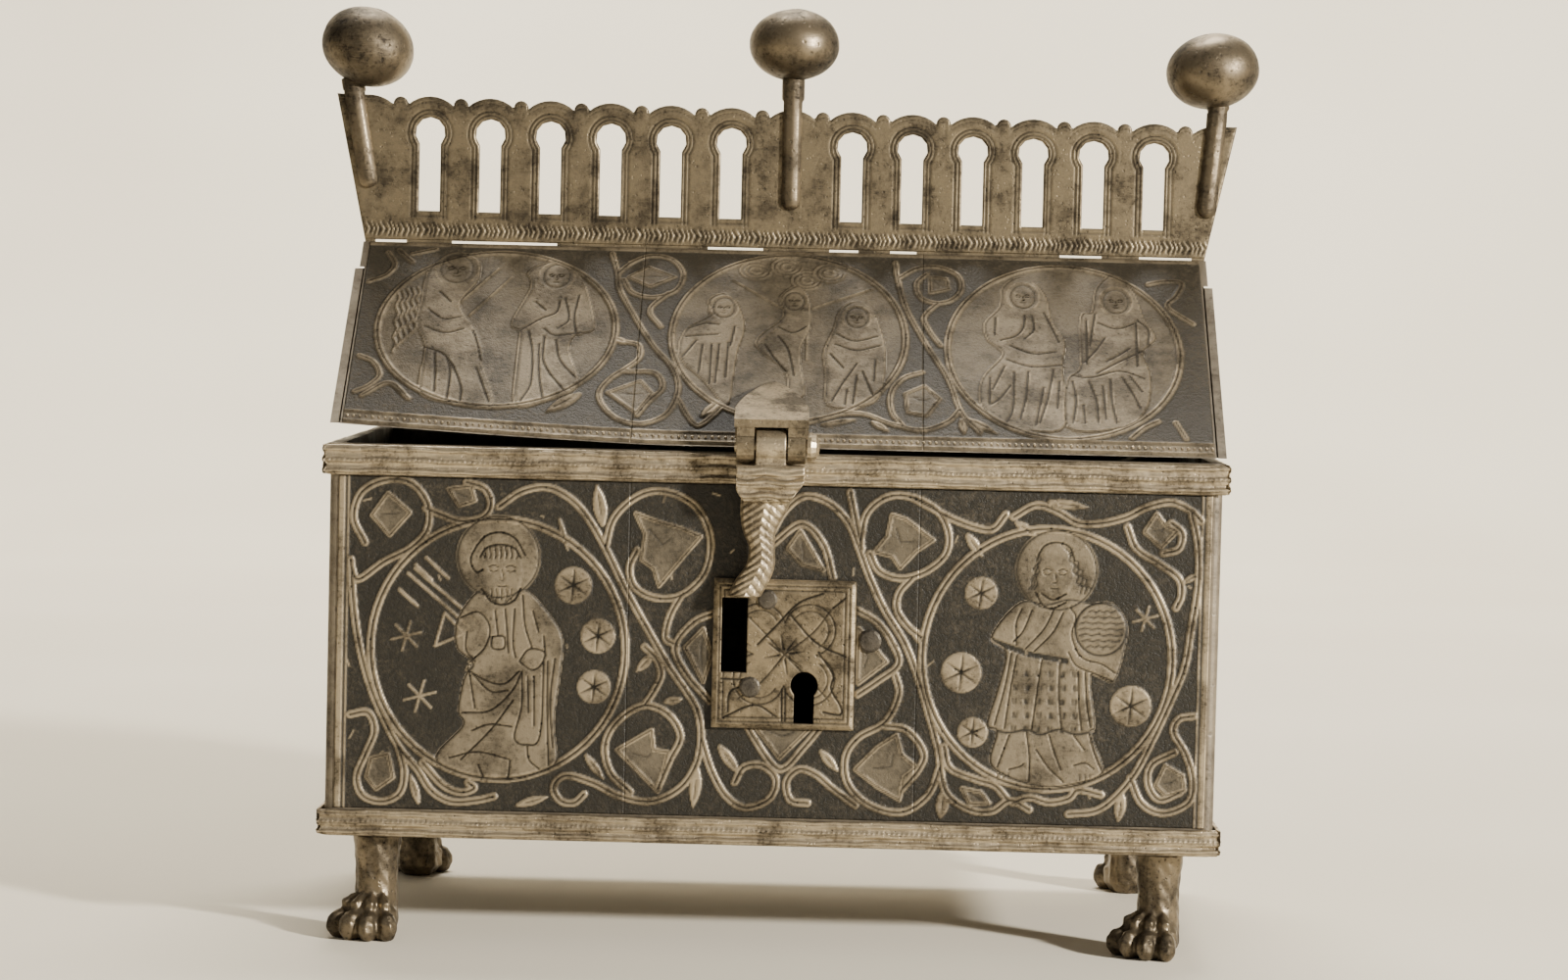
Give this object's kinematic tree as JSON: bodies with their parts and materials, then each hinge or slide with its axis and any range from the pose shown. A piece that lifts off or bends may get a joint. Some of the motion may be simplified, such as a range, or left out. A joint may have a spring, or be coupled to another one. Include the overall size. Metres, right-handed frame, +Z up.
{
  "type": "reliquary casket",
  "caption": "House-shaped enamelled copper casket on lion paws, with a hinged roof lid, pierced crest, knobs, lock plate and swinging hasp.",
  "frame": {"origin": "on the surface that the casket stands on, under the middle of its overall outline", "axes": "+Z up, +X to the casket's left-hand end as its maker would name it, which is on the right of someone facing the front, +Y from the front to the back"},
  "size_m": [0.1768, 0.1016, 0.1716],
  "materials": {
    "gilt_copper": "worn gilding over copper, rubbed and pitted",
    "enamelled_copper": "dark enamel grounds between reserved gilt lines",
    "enamel": "worn dark enamel, pitted",
    "iron": "dull dark iron"
  },
  "bodies": {
    "box": {"front_plate": "enamelled_copper", "back_plate": "enamelled_copper", "left_end_plate": "enamelled_copper", "right_end_plate": "enamelled_copper", "floor_plate": "gilt_copper", "top_moulding_front": "gilt_copper", "top_moulding_right": "gilt_copper", "top_moulding_back": "gilt_copper", "top_moulding_left": "gilt_copper", "bottom_moulding_front": "gilt_copper", "bottom_moulding_right": "gilt_copper", "bottom_moulding_back": "gilt_copper", "bottom_moulding_left": "gilt_copper", "front_left_paw": "gilt_copper", "front_right_paw": "gilt_copper", "back_right_paw": "gilt_copper", "back_left_paw": "gilt_copper", "lock_plate": "gilt_copper", "lock_screw_1": "iron", "lock_screw_2": "iron", "lock_screw_3": "iron", "left_hinge_box_strap": "gilt_copper", "right_hinge_box_strap": "gilt_copper", "left_hinge_pin": "iron", "right_hinge_pin": "iron"},
    "lid": {"front_roof_plate": "enamelled_copper", "back_roof_plate": "enamelled_copper", "left_gable": "enamelled_copper", "right_gable": "enamelled_copper", "crest": "gilt_copper", "left_stem": "gilt_copper", "left_knob": "gilt_copper", "middle_stem": "gilt_copper", "middle_knob": "gilt_copper", "right_stem": "gilt_copper", "right_knob": "gilt_copper", "hasp_leaf": "gilt_copper", "hasp_pin": "iron", "left_hinge_lid_strap": "gilt_copper", "right_hinge_lid_strap": "gilt_copper"},
    "hasp": {"hasp": "gilt_copper"}
  },
  "joints": [
    {"name": "lid_hinge", "type": "hinge", "parent": "box", "child": "lid", "pos_m": [-0.00026, 0.04839, 0.0912], "axis": [-1, 0, 0], "range_deg": [0, 100]},
    {"name": "hasp_hinge", "type": "hinge", "parent": "lid", "child": "hasp", "pos_m": [-0.00116, -0.04721, 0.0912], "axis": [-1, 0, 0], "range_deg": [0, 100]}
  ]
}
